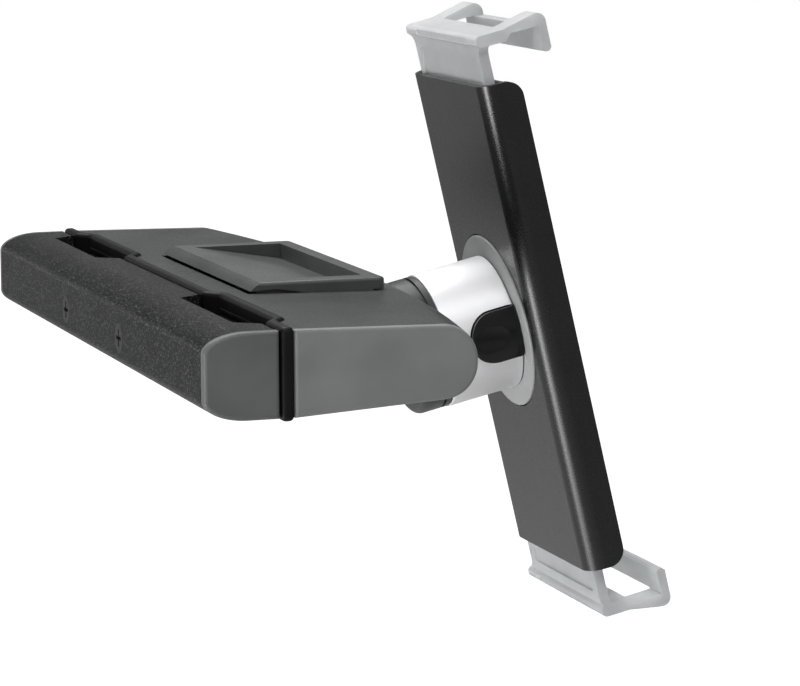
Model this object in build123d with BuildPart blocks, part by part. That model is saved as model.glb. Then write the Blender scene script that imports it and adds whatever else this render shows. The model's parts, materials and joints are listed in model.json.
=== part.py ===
from build123d import *
import os
from math import sin, cos, tan, atan, radians, pi

# Tablet holder for the posts of a car head rest.
# Millimetres. X runs from the posts to the tablet, Y along the jaw, Z up.
# The origin lies midway between the two post gaps, at half the clamp's height.

# Clamp: overall sizes
clamp_length = 238.0
clamp_height = 23.1
cap_thickness = 3.0
half_length = clamp_length / 2
half_height = clamp_height / 2

# Jaw bar
jaw_depth = 20.4
jaw_front_wall = 3.0
jaw_wall = 2.2
jaw_round_width = 12.0
jaw_top_round_height = 5.4
jaw_bottom_round_height = 5.5
jaw_edge_radius = 0.8

# Post gaps
gap_inner_y = 43.0
gap_end_margin = 14.5
gap_outer_y = half_length - gap_end_margin
gap_slant = 5.0
jaw_recess_depth = 7.0
jaw_web_x = -jaw_recess_depth
jaw_pad_thickness = 1.2

# Rubber strip along the body's gap side
ridge_face = 0.4
pocket_face = 3.8
strip_thickness = 3.6
strip_rise = 0.8
strip_edge_radius = 1.3
strip_corner_radius = 3.0

# Clamp body
body_front = ridge_face + strip_thickness
slope_start = body_front
body_depth_end = 50.2
nose_bulge = 11.4
nose_radius = 9.4
body_wall = 2.5
top_fall = 0.8
bottom_rise = 2.6
slope_run = 42.0
body_front_wall = 5.4
base_thickness = 2.2
base_ledge = 1.6
rib_thickness = 2.0
boss_radius = 3.2
base_screw_radius = 1.1
base_head_radius = 2.5

# Lever
lever_width = 92.0
lever_right = 53.0
lever_top = 14.3
lever_axle_x = 21.0
lever_axle_z = 5.7
lever_axle_radius = 2.0
lever_sweep_radius = 9.7
lever_side_bar = 6.5
lever_left_bar = 7.2
lever_right_bar = 5.4
lever_pocket_depth = 4.4
lever_skin = 1.8
lever_swing = 60.0
lever_rest_gap = 0.35
cam_reach = 9.0
jaw_travel = 4.0
cam_inner_y = 19.0
cam_width = 6.0
cam_hub_radius = 4.2

# Tie rods and draw yoke
rod_y = 31.0
rod_z = -1.3
rod_radius = 3.0
rod_screw_radius = 2.0
screw_head_radius = 4.3
yoke_thickness = 3.6
yoke_half_width = 36.0
yoke_top = 4.0
yoke_bottom = -5.5
yoke_lug_top = 10.1
nut_width = 8.0
nut_thickness = 4.0
spring_y = 21.4
spring_radius = 3.1
spring_wire_radius = 0.45
spring_seat_x = 42.0

# Tilt joint
tilt_angle = 13.0
pivot_x = 54.0
arm_drop = 17.5
lug_radius = 7.8
lug_width = 21.0
washer_thickness = 0.8
washer_radius = 6.6
cheek_thickness = 5.0
tilt_bolt_radius = 3.0
collar_start = 14.0
collar_length = 9.7
collar_radius = 19.8

# Silver sleeve, hub and buttons
sleeve_start = 23.9
sleeve_end = 45.7
sleeve_radius = 20.1
sleeve_wall = 1.8
button_height = 15.2
button_left = 30.6
button_rise = 1.5
button_travel = 1.8
button_dish_place = 6.3
button_dish_radius = 5.4
button_dish_depth = 0.9
latch_thickness = 2.4
latch_width = 21.0
spigot_radius = 7.0
spigot_groove = 1.8
spigot_start = 31.5
hub_screw_height = 14.2
hub_screw_radius = 1.5
hub_screw_head = 2.7
hub_screw_seat = 29.5

# Swivel disc and its retaining ring
disc_radius = 26.1
disc_gap = 0.35
disc_start = 45.9
disc_thickness = 2.3
bearing_radius = 21.8
lip_end = 50.3
ring_radius = 25.4
ring_thickness = 1.4
ring_hole_radius = 11.0
ring_screw_circle = 15.5
ring_screw_radius = 1.2
ring_screw_head = 2.3
washer_height = 0.5

# Back plate
plate_width = 64.0
plate_height = 146.6
plate_start = 46.5
plate_depth = 11.9
plate_wall = 1.8
plate_edge_radius = 6.0
plate_free_radius = 5.0
rail_width = 1.5
rail_start = 55.0

# Front cover and pads
cover_start = 56.8
cover_thickness = 1.6
cover_gap = 0.2
cover_rib = 1.4
cover_rib_y = 21.5
cross_rib_length = 17.0
pad_thickness = 1.5
pad_width = 9.0
pad_y = 17.0
pad_groove_count = 13
standoff_places = [(26, 22), (26, -22), (-26, 22), (-26, -22)]
standoff_radius = 3.0
cover_screw_radius = 1.2
cover_screw_head = 2.4
tablet_back = 59.9
tablet_thickness = 6.9
tablet_half_height = 86.0

# Clips
clip_half_width = 31.0
tongue_half_width = 27.9
tongue_start = 49.0
tongue_thickness = 2.2
tongue_rim = 3.2
tongue_length = 40.4
shelf_inset = 1.6
shelf_height = 3.4
shelf_low = tablet_half_height - shelf_inset
shelf_high = shelf_low + shelf_height
tongue_inner_end = shelf_low - tongue_length
arm_width = 9.0
hook_overlap = 7.5
hook_reach = tablet_half_height - hook_overlap
hook_thickness = 2.7
hook_rise = 4.0
hook_top = tablet_half_height + hook_rise
lip_top = tablet_half_height

# Clip gear train
pinion_teeth = 20
pinion_module = 1.0
pinion_start = 53.5
pinion_thickness = 3.0
pinion_bore = 4.0
running_gap = 0.1
rack_outer = 16.0
pinion_screw_radius = 1.6

# Running clearances
slide_gap = 0.3
shaft_gap = 0.06

os.makedirs("parts", exist_ok=True)

# Planes of the tilted arm and head
tilt = radians(tilt_angle)
axis_x = pivot_x + arm_drop * sin(tilt)
axis_z = -arm_drop * cos(tilt)


def head_plane(along):
    """Plane square to the cylinder's axis; its x runs along Y, its y up the tablet."""
    return Plane(
        origin=(axis_x + along * cos(tilt), 0, axis_z + along * sin(tilt)),
        x_dir=(0, 1, 0),
        z_dir=(cos(tilt), 0, sin(tilt)),
    )


def head_side(y_place):
    """Upright plane along the cylinder's axis; extrudes towards -Y."""
    return Plane(
        origin=(axis_x, y_place, axis_z),
        x_dir=(cos(tilt), 0, sin(tilt)),
        z_dir=(0, -1, 0),
    )


def outward_plane(side, reach):
    """Upright plane along the cylinder's axis, at reach on one side, facing outwards."""
    base = head_side(side * reach)
    return Plane(origin=base.origin, x_dir=base.x_dir, z_dir=(0, side, 0))


def arm_side(y_place):
    """Upright plane through the tilt pivot; its x runs square to the collar."""
    return Plane(
        origin=(pivot_x, y_place, 0),
        x_dir=(cos(tilt), 0, sin(tilt)),
        z_dir=(0, -1, 0),
    )


def clamp_side(y_place):
    """Upright XZ plane at one place along the jaw; extrudes towards -Y."""
    return Plane(origin=(0, y_place, 0), x_dir=(1, 0, 0), z_dir=(0, -1, 0))


def save(piece, name):
    """Name one finished piece and write it."""
    piece.part.label = name
    export_step(piece.part, "parts/" + name + ".step")


def gap_outline(depth, grow, side):
    """Plan of one post gap measured from X = 0, with a slanted inner end."""
    inner = gap_inner_y - grow
    outer = gap_outer_y + grow
    points = [(0, inner), (depth, inner + gap_slant), (depth, outer - gap_slant), (0, outer)]
    return [(x, side * y) for x, y in points]


# Jaw bar: hollow extruded section with a web behind the post gaps
jaw_front = -jaw_depth
jaw_bar_half = half_length - cap_thickness
round_x = jaw_front + jaw_round_width
front_chamber_width = jaw_web_x - jaw_wall - jaw_front - jaw_front_wall
front_chamber_x = (jaw_front + jaw_front_wall + jaw_web_x - jaw_wall) / 2
front_chamber_height = 12.6
rear_chamber_width = -jaw_web_x - jaw_wall
rear_chamber_x = (jaw_web_x - jaw_wall) / 2
rear_chamber_height = clamp_height - 2 * jaw_wall


def jaw_section(inset):
    """Side profile of the jaw, used by the bar and by its end caps."""
    low = -half_height + inset
    high = half_height - inset
    front = jaw_front + inset
    with BuildLine() as outline:
        Line((-inset, low), (-inset, high))
        Line((-inset, high), (round_x, high))
        EllipticalCenterArc(
            (round_x, high - jaw_top_round_height),
            round_x - front,
            jaw_top_round_height,
            start_angle=90,
            arc_size=90,
        )
        Line((front, high - jaw_top_round_height), (front, low + jaw_bottom_round_height))
        EllipticalCenterArc(
            (round_x, low + jaw_bottom_round_height),
            round_x - front,
            jaw_bottom_round_height,
            start_angle=180,
            arc_size=90,
        )
        Line((round_x, low), (-inset, low))
    return outline.line


with BuildPart() as jaw_bar:
    with BuildSketch(clamp_side(jaw_bar_half)):
        with BuildLine():
            add(jaw_section(0))
        make_face()
    extrude(amount=2 * jaw_bar_half)
    long_edges = jaw_bar.edges().filter_by(Axis.Y).group_by(Axis.X)[-1]
    fillet(long_edges, jaw_edge_radius)
    # front chamber with rounded corners
    with BuildSketch(clamp_side(jaw_bar_half)):
        with Locations((front_chamber_x, 0)):
            RectangleRounded(front_chamber_width, front_chamber_height, 1.5)
    extrude(amount=2 * jaw_bar_half, mode=Mode.SUBTRACT)
    # rear chamber
    with BuildSketch(clamp_side(jaw_bar_half)):
        with Locations((rear_chamber_x, 0)):
            RectangleRounded(rear_chamber_width, rear_chamber_height, 1.2)
    extrude(amount=2 * jaw_bar_half, mode=Mode.SUBTRACT)
    # post gaps through the rear chamber
    for side in (1, -1):
        with BuildSketch(Plane.XY.offset(-half_height)):
            with BuildLine():
                Polyline(*gap_outline(-jaw_recess_depth, 0, side), close=True)
            make_face()
        extrude(amount=clamp_height, mode=Mode.SUBTRACT)
        # rod hole in the rear wall, screw hole in the web and sunk head seat
        with BuildSketch(Plane.YZ.offset(-jaw_wall - 1)):
            with Locations((side * rod_y, rod_z)):
                Circle(rod_radius + shaft_gap)
        extrude(amount=jaw_wall + 2, mode=Mode.SUBTRACT)
        with BuildSketch(Plane.YZ.offset(jaw_front - 1)):
            with Locations((side * rod_y, rod_z)):
                Circle(rod_screw_radius + 0.2)
        extrude(amount=jaw_depth - jaw_wall - 1, mode=Mode.SUBTRACT)
        with Locations(Location((jaw_front, side * rod_y, rod_z), (0, -90, 0))):
            CounterSinkHole(
                radius=rod_screw_radius + 0.2,
                counter_sink_radius=screw_head_radius + 0.15,
                depth=jaw_front_wall,
                counter_sink_angle=90,
            )
save(jaw_bar, "jaw_bar")


stub_length = 7.0
stub_play = 0.2
stub_wall = 1.6


def build_jaw_cap(side, name):
    """Rounded end cap with two stubs that plug into the bar's chambers."""
    with BuildPart() as cap:
        face_y = jaw_bar_half if side > 0 else -jaw_bar_half
        outward = -side
        with BuildSketch(clamp_side(face_y)):
            with BuildLine():
                add(jaw_section(0))
            make_face()
        extrude(amount=outward * cap_thickness)
        outer = cap.faces().sort_by(Axis.Y)[-1 if side > 0 else 0]
        fillet(outer.edges(), 1.2)
        with BuildSketch(clamp_side(face_y)):
            with Locations((front_chamber_x, 0)):
                RectangleRounded(front_chamber_width - stub_play, front_chamber_height - stub_play, 1.4)
            with Locations((rear_chamber_x, 0)):
                RectangleRounded(rear_chamber_width - stub_play, rear_chamber_height - stub_play, 1.1)
        extrude(amount=-outward * stub_length)
        # hollow the stubs from their ends
        with BuildSketch(clamp_side(face_y - side * stub_length)):
            with Locations((front_chamber_x, 0)):
                hollow_height = front_chamber_height - 2 * stub_wall
                RectangleRounded(front_chamber_width - 2 * stub_wall, hollow_height, 0.6)
            with Locations((rear_chamber_x, 0)):
                hollow_height = rear_chamber_height - 2 * stub_wall
                RectangleRounded(rear_chamber_width - 2 * stub_wall, hollow_height, 0.6)
        extrude(amount=outward * (stub_length - 1), mode=Mode.SUBTRACT)
    save(cap, name)


build_jaw_cap(1, "jaw_cap_left")
build_jaw_cap(-1, "jaw_cap_right")

# Rubber pads in the jaw's post gaps, one node with two solids
with BuildPart() as jaw_pads:
    for side in (1, -1):
        inner = gap_inner_y + gap_slant + 0.5
        outer = gap_outer_y - gap_slant - 0.5
        with BuildSketch(Plane.XY.offset(-half_height + 0.6)):
            with BuildLine():
                back = -jaw_recess_depth
                front = -jaw_recess_depth + jaw_pad_thickness
                Polyline(
                    (back, side * inner),
                    (front, side * (inner + 1.5)),
                    (front, side * (outer - 1.5)),
                    (back, side * outer),
                    close=True,
                )
            make_face()
        extrude(amount=clamp_height - 1.2)
    # upright grip grooves
    groove_count = 8
    groove_pitch = (gap_outer_y - gap_inner_y - 2 * gap_slant - 8) / (groove_count - 1)
    for side in (1, -1):
        for index in range(groove_count):
            y_place = side * (gap_inner_y + gap_slant + 4 + index * groove_pitch)
            with Locations((-jaw_recess_depth + jaw_pad_thickness, y_place, 0)):
                Cylinder(0.5, clamp_height, mode=Mode.SUBTRACT)
save(jaw_pads, "jaw_pads")

# Clamp body: rounded nose that bulges in the middle, open below
body_half = half_length - cap_thickness
nose_tip_end = body_front + body_depth_end
nose_tip_mid = nose_tip_end + nose_bulge
front_spare = 2.0


def body_plan(inset, half):
    """Plan of the clamp body with its bowed nose edge."""
    bulge_share = 1 - (half / half_length) ** 2
    end_x = nose_tip_end + nose_bulge * bulge_share - inset
    with BuildLine() as outline:
        Line((body_front - front_spare, -half), (body_front - front_spare, half))
        Line((body_front - front_spare, half), (end_x, half))
        ThreePointArc((end_x, half), (nose_tip_mid - inset, 0), (end_x, -half))
        Line((end_x, -half), (body_front - front_spare, -half))
    return outline.line


def body_wedge():
    """Side outline between the sloping top and bottom faces."""
    far = nose_tip_mid + 5
    top_far = half_height - top_fall * (far - slope_start) / slope_run
    low_far = -half_height + bottom_rise * (far - slope_start) / slope_run
    with BuildLine() as outline:
        Polyline(
            (0, half_height),
            (slope_start, half_height),
            (far, top_far),
            (far, low_far),
            (slope_start, -half_height),
            (0, -half_height),
            close=True,
        )
    return outline.line


def body_solid(half, inset):
    """Plan and wedge together, with the nose rounded over."""
    with BuildPart() as block:
        with BuildSketch(Plane.XY.offset(-half_height)):
            with BuildLine():
                add(body_plan(inset, half))
            make_face()
        extrude(amount=clamp_height)
        with BuildSketch(clamp_side(half + 1)):
            with BuildLine():
                add(body_wedge())
            make_face()
        extrude(amount=2 * half + 2, mode=Mode.INTERSECT)
        nose_face = block.faces().sort_by(Axis.X)[-1]
        nose_edges = [edge for edge in nose_face.edges() if edge.length > half]
        fillet(nose_edges, nose_radius)
    return block.part


outer_block = body_solid(body_half, 0)

lever_seat_z = half_height + lever_rest_gap
window_left = lever_axle_x - 5
window_right = lever_right - lever_right_bar + lever_skin + slide_gap
window_half = lever_width / 2 + slide_gap
cheek_inner = lug_width / 2 + washer_thickness + 0.05
cheek_outer = cheek_inner + cheek_thickness
cavity_front_mid = nose_tip_mid - nose_radius - 1.5

cheek_low = -8.5
cheek_under_lever = 7.3
spring_wall_half = 7.1
cheek_outline = [
    (spring_seat_x + 1, cheek_low),
    (pivot_x + 10, cheek_low),
    (pivot_x + 10, 9.2),
    (window_right + 0.8, 9.2),
    (window_right + 0.8, cheek_under_lever),
    (spring_seat_x + 1, cheek_under_lever),
]

base_slope = atan(bottom_rise / slope_run)
base_plane = Plane(
    origin=(slope_start, 0, -half_height),
    x_dir=(cos(base_slope), 0, sin(base_slope)),
    z_dir=(-sin(base_slope), 0, cos(base_slope)),
)
inner_screw_y = window_half + 10.7
outer_screw_y = body_half - 15.0
base_screw_places = []
for side in (1, -1):
    base_screw_places += [(13.5, side * inner_screw_y), (40, side * inner_screw_y)]
    base_screw_places += [(13.5, side * outer_screw_y), (38, side * outer_screw_y)]
cross_wall_places = (half_length - 31.0, half_length - 53.0)


def strip_line(shift):
    """Plan of the strip's face from end to end, moved along X by shift."""
    near = [
        (ridge_face + shift, gap_inner_y),
        (pocket_face + shift, gap_inner_y + gap_slant),
        (pocket_face + shift, gap_outer_y - gap_slant),
        (ridge_face + shift, gap_outer_y),
        (ridge_face + shift, half_length),
    ]
    return [(x, -y) for x, y in reversed(near)] + near


def base_outline(inset):
    """Plan of the base cover, measured from the start of the sloping underside."""
    left = body_front + body_front_wall - slope_start + inset
    half = body_half + 1 if inset == 0 else body_half - inset
    right = nose_tip_end - nose_radius + base_ledge - slope_start - inset
    middle = cavity_front_mid + base_ledge - slope_start - inset
    with BuildLine() as outline:
        Line((left, -half), (left, half))
        Line((left, half), (right, half))
        ThreePointArc((right, half), (middle, 0), (right, -half))
        Line((right, -half), (left, -half))
    return outline.line


with BuildPart() as clamp_body:
    add(outer_block)
    # main cavity, open at the base
    with BuildSketch(Plane.XY.offset(-half_height - 1)):
        with BuildLine():
            cavity_half = body_half + 1
            end_x = nose_tip_end - nose_radius
            start_x = body_front + body_front_wall
            Line((start_x, -cavity_half), (start_x, cavity_half))
            Line((start_x, cavity_half), (end_x, cavity_half))
            ThreePointArc((end_x, cavity_half), (cavity_front_mid, 0), (end_x, -cavity_half))
            Line((end_x, -cavity_half), (start_x, -cavity_half))
        make_face()
    extrude(amount=half_height + 1 + half_height - top_fall - body_wall, mode=Mode.SUBTRACT)
    # cross walls that stiffen the shell, with the lever's and rods' passages cut later
    rib_top = half_height - top_fall - body_wall + 0.2
    rib_low = -half_height + base_thickness + 2.4
    for side in (1, -1):
        for y_place in cross_wall_places:
            with Locations((28, side * y_place, (rib_top + rib_low) / 2)):
                Box(47, rib_thickness, rib_top - rib_low)
        # walls at both ends of the lever's window, bored for its axle
        with Locations(((body_front + 50) / 2, side * (window_half + 2.5), (rib_top + rib_low) / 2)):
            Box(48 - body_front, 4, rib_top - rib_low)
        # cheeks beside the tilt lug
        with BuildSketch(clamp_side(side * (cheek_inner + cheek_outer) / 2)):
            Polygon(*cheek_outline, align=None)
        extrude(amount=cheek_thickness / 2, both=True)
        # wall that seats the return springs
        with Locations((spring_seat_x + 1.25, side * (cheek_inner + window_half) / 2, 0)):
            Box(2.5, window_half - cheek_inner + 4, 2 * spring_wall_half)
    # keep the walls inside the rounded outside
    add(outer_block, mode=Mode.INTERSECT)
    # lever's window
    with BuildSketch(Plane.XY.offset(half_height - top_fall - body_wall - 6)):
        with Locations(((window_left + window_right) / 2, 0)):
            RectangleRounded(window_right - window_left, 2 * window_half, 0.3)
    extrude(amount=20, mode=Mode.SUBTRACT)
    # hollow that the lever's round back edge turns in
    with BuildSketch(clamp_side(window_half)):
        with Locations((lever_axle_x, lever_axle_z)):
            Circle(lever_sweep_radius + slide_gap)
    extrude(amount=2 * window_half, mode=Mode.SUBTRACT)
    # slot for the tilt lug, open at the nose and below
    with BuildSketch(clamp_side(cheek_inner)):
        with BuildLine():
            Polyline(
                (pivot_x - lug_radius - 1.0, -half_height - 1),
                (pivot_x - lug_radius - 1.0, 8.3),
                (pivot_x + 4.5, 8.3),
                (pivot_x + 6.5, half_height + 1),
                (nose_tip_mid + 2, half_height + 1),
                (nose_tip_mid + 2, -half_height - 1),
                close=True,
            )
        make_face()
    extrude(amount=2 * cheek_inner, mode=Mode.SUBTRACT)
    # bore of the tilt bolt, with the seats of its head and nut
    with BuildSketch(clamp_side(cheek_outer + 12)):
        with Locations((pivot_x, 0)):
            Circle(tilt_bolt_radius + shaft_gap)
    extrude(amount=2 * cheek_outer + 24, mode=Mode.SUBTRACT)
    for side in (1, -1):
        face_y = cheek_outer + 9 if side > 0 else -cheek_outer
        with BuildSketch(clamp_side(face_y)):
            with Locations((pivot_x, 0)):
                Circle(7.6)
        extrude(amount=9, mode=Mode.SUBTRACT)
    # rod bores and the axle bore
    for side in (1, -1):
        with BuildSketch(Plane.YZ.offset(body_front - 1)):
            with Locations((side * rod_y, rod_z)):
                Circle(rod_radius + shaft_gap)
        extrude(amount=14, mode=Mode.SUBTRACT)
    with BuildSketch(clamp_side(window_half + 3.5)):
        with Locations((lever_axle_x, lever_axle_z)):
            Circle(lever_axle_radius)
    extrude(amount=2 * window_half + 7, mode=Mode.SUBTRACT)
    # front cut back to the line of the rubber strip, with its two post pockets
    with BuildSketch(Plane.XY.offset(-half_height - 1)) as front_plan:
        with BuildLine():
            Polyline((-5, -half_length), *strip_line(strip_thickness), (-5, half_length), close=True)
        make_face()
        bends = [corner for corner in front_plan.vertices() if abs(corner.Y) < half_length - 1]
        fillet(bends, strip_corner_radius)
    extrude(amount=clamp_height + 2, mode=Mode.SUBTRACT)
    # ledge for the base cover, square to the sloping underside
    with BuildSketch(base_plane):
        with BuildLine():
            add(base_outline(0))
        make_face()
    extrude(amount=base_thickness, mode=Mode.SUBTRACT)
    # bosses for the base screws
    for x_place, y_place in base_screw_places:
        with BuildSketch(base_plane.offset(base_thickness)):
            with Locations((x_place - slope_start, y_place)):
                Circle(boss_radius)
                Circle(base_screw_radius, mode=Mode.SUBTRACT)
        extrude(amount=17.5)
save(clamp_body, "clamp_body")


# End caps of the body, each with a hollow plug
full_block = body_solid(half_length, 0)
plug_low = -6.4
plug_high = half_height - top_fall - body_wall - 0.25
plug_left = body_front + body_front_wall + 0.25
plug_right = nose_tip_end - nose_radius - 1.2
plug_depth = 5.0
plug_wall = 1.6


def build_body_cap(side, name):
    """D-shaped cap that continues the rounded nose."""
    with BuildPart() as cap:
        add(full_block)
        with Locations((body_front + nose_tip_mid / 2, side * (body_half + cap_thickness / 2), 0)):
            Box(nose_tip_mid, cap_thickness, 2 * clamp_height, mode=Mode.INTERSECT)
        outer = cap.faces().sort_by(Axis.Y)[-1 if side > 0 else 0]
        fillet(outer.edges(), 1.1)
        with BuildSketch(clamp_side(side * (body_half - plug_depth / 2))):
            with Locations(((plug_left + plug_right) / 2, (plug_low + plug_high) / 2)):
                RectangleRounded(plug_right - plug_left, plug_high - plug_low, 2)
                RectangleRounded(
                    plug_right - plug_left - 2 * plug_wall,
                    plug_high - plug_low - 2 * plug_wall,
                    1,
                    mode=Mode.SUBTRACT,
                )
        extrude(amount=plug_depth / 2, both=True)
    save(cap, name)


build_body_cap(1, "body_cap_left")
build_body_cap(-1, "body_cap_right")

# Rubber strip that follows both post pockets, with rounded rims all round
with BuildPart() as body_strip:
    with BuildSketch(Plane.XY.offset(-half_height - strip_rise)) as strip_plan:
        with BuildLine():
            Polyline(*strip_line(0), *reversed(strip_line(strip_thickness)), close=True)
        make_face()
        bends = [corner for corner in strip_plan.vertices() if abs(corner.Y) < half_length - 1]
        fillet(bends, strip_corner_radius)
        ends = [corner for corner in strip_plan.vertices() if abs(corner.Y) > half_length - 0.01]
        fillet(ends, strip_edge_radius + 0.1)
    extrude(amount=clamp_height + 2 * strip_rise)
    strip_faces = body_strip.faces().filter_by(Axis.Z).sort_by(Axis.Z)
    rims = strip_faces[0].edges() + strip_faces[-1].edges()
    fillet(rims, strip_edge_radius)
    for side in (1, -1):
        # hole for the tie rod
        with BuildSketch(Plane.YZ.offset(-1)):
            with Locations((side * rod_y, rod_z)):
                Circle(rod_radius + slide_gap)
        extrude(amount=strip_thickness + 2, mode=Mode.SUBTRACT)
        # fine grip ridges across the pocket face
        grip_middle = side * (gap_inner_y + gap_outer_y) / 2
        grip_length = gap_outer_y - gap_inner_y - 2 * gap_slant - 4
        for index in range(9):
            with Locations((pocket_face, grip_middle, -8 + index * 2)):
                Box(0.5, grip_length, 0.8)
save(body_strip, "body_strip")

# Base cover and its screws
with BuildPart() as base_cover:
    with BuildSketch(base_plane):
        with BuildLine():
            add(base_outline(0.15))
        make_face()
    extrude(amount=base_thickness)
    # stiffening ribs, with room for the rods and the yoke above
    with BuildSketch(base_plane.offset(base_thickness)):
        for y_place in (half_length - 42.0, inner_screw_y):
            with Locations((22.5, y_place), (22.5, -y_place)):
                Rectangle(16, 1.5)
    extrude(amount=1.8)
    with BuildSketch(Plane.XY.offset(-half_height - 1)):
        with Locations((pivot_x + 10, 0)):
            Rectangle(2 * (lug_radius + 10 + 1.2), 2 * (cheek_inner + 0.3))
    extrude(amount=8, mode=Mode.SUBTRACT)
    with BuildSketch(base_plane):
        with Locations(*[(x - slope_start, y) for x, y in base_screw_places]):
            Circle(base_head_radius + 0.1)
    extrude(amount=base_head_radius + 0.1 - base_screw_radius, taper=45, mode=Mode.SUBTRACT)
    with BuildSketch(base_plane):
        with Locations(*[(x - slope_start, y) for x, y in base_screw_places]):
            Circle(base_screw_radius + 0.1)
    extrude(amount=base_thickness, mode=Mode.SUBTRACT)
save(base_cover, "base_cover")


def cross_screw(plane, head_radius, shank_radius, length):
    """Countersunk screw whose head lies in the plane, with a cross recess."""
    sink = head_radius - shank_radius
    with BuildPart(mode=Mode.PRIVATE) as screw:
        with BuildSketch(plane):
            Circle(head_radius)
        extrude(amount=sink, taper=45)
        with BuildSketch(plane):
            Circle(shank_radius)
        extrude(amount=length)
        with BuildSketch(plane):
            Rectangle(head_radius * 1.15, head_radius * 0.24)
            Rectangle(head_radius * 0.24, head_radius * 1.15)
        extrude(amount=sink * 0.9, taper=12, mode=Mode.SUBTRACT)
    return screw.part


with BuildPart() as base_screws:
    for x_place, y_place in base_screw_places:
        spot = base_plane.shift_origin(base_plane.from_local_coords(Vector(x_place - slope_start, y_place, 0)))
        add(cross_screw(spot, base_head_radius, base_screw_radius, 9))
save(base_screws, "base_screws")

# Tie rods, their screws and nuts, draw yoke
rod_start = jaw_web_x
yoke_left = lever_axle_x + cam_reach + slide_gap
yoke_right = yoke_left + yoke_thickness
rod_end = yoke_right + nut_thickness + 1.5
with BuildPart() as tie_rods:
    for side in (1, -1):
        with BuildSketch(Plane.YZ.offset(rod_start)):
            with Locations((side * rod_y, rod_z)):
                Circle(rod_radius)
        extrude(amount=yoke_left - rod_start)
        # shoulder down to the threaded end that holds yoke and nut
        with BuildSketch(Plane.YZ.offset(yoke_left)):
            with Locations((side * rod_y, rod_z)):
                Circle(rod_screw_radius)
        extrude(amount=rod_end - yoke_left)
        with BuildSketch(Plane.YZ.offset(rod_start)):
            with Locations((side * rod_y, rod_z)):
                Circle(rod_screw_radius)
        extrude(amount=9, mode=Mode.SUBTRACT)
    chamfer(tie_rods.edges().filter_by(GeomType.CIRCLE).group_by(Axis.X)[-1], 0.5)
save(tie_rods, "tie_rods")

with BuildPart() as jaw_screws:
    for side in (1, -1):
        spot = Plane(origin=(jaw_front, side * rod_y, rod_z), x_dir=(0, 1, 0), z_dir=(1, 0, 0))
        add(cross_screw(spot, screw_head_radius, rod_screw_radius, rod_start - jaw_front + 8))
save(jaw_screws, "jaw_screws")

with BuildPart() as draw_yoke:
    with BuildSketch(Plane.YZ.offset(yoke_left)):
        with BuildLine():
            half = yoke_half_width
            lug_out = cam_inner_y + cam_width + 0.5
            lug_in = cam_inner_y - 0.5
            right_half = [
                (0, yoke_bottom + 1.5),
                (14, yoke_bottom + 1.5),
                (18, yoke_bottom),
                (half, yoke_bottom),
                (half, yoke_top - 2),
                (half - 2, yoke_top),
                (lug_out + 1, yoke_top),
                (lug_out, yoke_top + 1),
                (lug_out, yoke_lug_top),
                (lug_in, yoke_lug_top),
                (lug_in, yoke_top),
                (10, yoke_top - 2),
                (0, yoke_top - 2),
            ]
            Polyline(*right_half, *[(-y, z) for y, z in reversed(right_half[1:-1])], close=True)
        make_face()
        with Locations((rod_y, rod_z), (-rod_y, rod_z)):
            Circle(rod_screw_radius, mode=Mode.SUBTRACT)
    extrude(amount=yoke_thickness)
save(draw_yoke, "draw_yoke")

with BuildPart() as yoke_nuts:
    for side in (1, -1):
        with BuildSketch(Plane.YZ.offset(yoke_right)):
            with Locations((side * rod_y, rod_z)):
                RegularPolygon(nut_width / 2, 6, major_radius=False)
                Circle(rod_screw_radius, mode=Mode.SUBTRACT)
        extrude(amount=nut_thickness)
save(yoke_nuts, "yoke_nuts")


def coil_spring(plane, length, radius, wire, turns):
    """Open compression spring along the plane's normal."""
    with BuildPart(mode=Mode.PRIVATE) as coil:
        with BuildLine():
            Helix((length - 2 * wire) / turns, length - 2 * wire, radius - wire)
        with BuildSketch(Plane(origin=(radius - wire, 0, 0), x_dir=(1, 0, 0), z_dir=(0, 1, 0))):
            RegularPolygon(wire, 6)
        sweep(is_frenet=True)
    return plane.location * Location((0, 0, wire)) * coil.part


right_spring = Plane(origin=(yoke_right, -spring_y, rod_z), x_dir=(0, 1, 0), z_dir=(1, 0, 0))
return_coil = coil_spring(right_spring, spring_seat_x - yoke_right, spring_radius, spring_wire_radius, 4)
with BuildPart() as return_springs:
    add(return_coil)
    add(Location((0, 2 * spring_y, 0)) * return_coil)
save(return_springs, "return_springs")

# Lever with two involute cams and an axle
cam_slope = jaw_travel / radians(lever_swing)
cam_steps = 9


def lever_point(x_from_axle, z_from_axle):
    return (lever_axle_x + x_from_axle, lever_axle_z + z_from_axle)


def cam_points():
    """Flank whose support distance falls evenly with the lever's angle."""
    points = []
    for step in range(cam_steps + 1):
        turn = -radians(lever_swing) * step / cam_steps
        reach = cam_reach + cam_slope * turn
        x_off = reach * cos(turn) - cam_slope * sin(turn)
        z_off = reach * sin(turn) + cam_slope * cos(turn)
        points.append(lever_point(x_off, z_off))
    return points


def under_lever(x_place):
    """Height of the lever's underside, even above the sloping body."""
    return half_height - top_fall * (x_place - slope_start) / slope_run + lever_rest_gap


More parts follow.
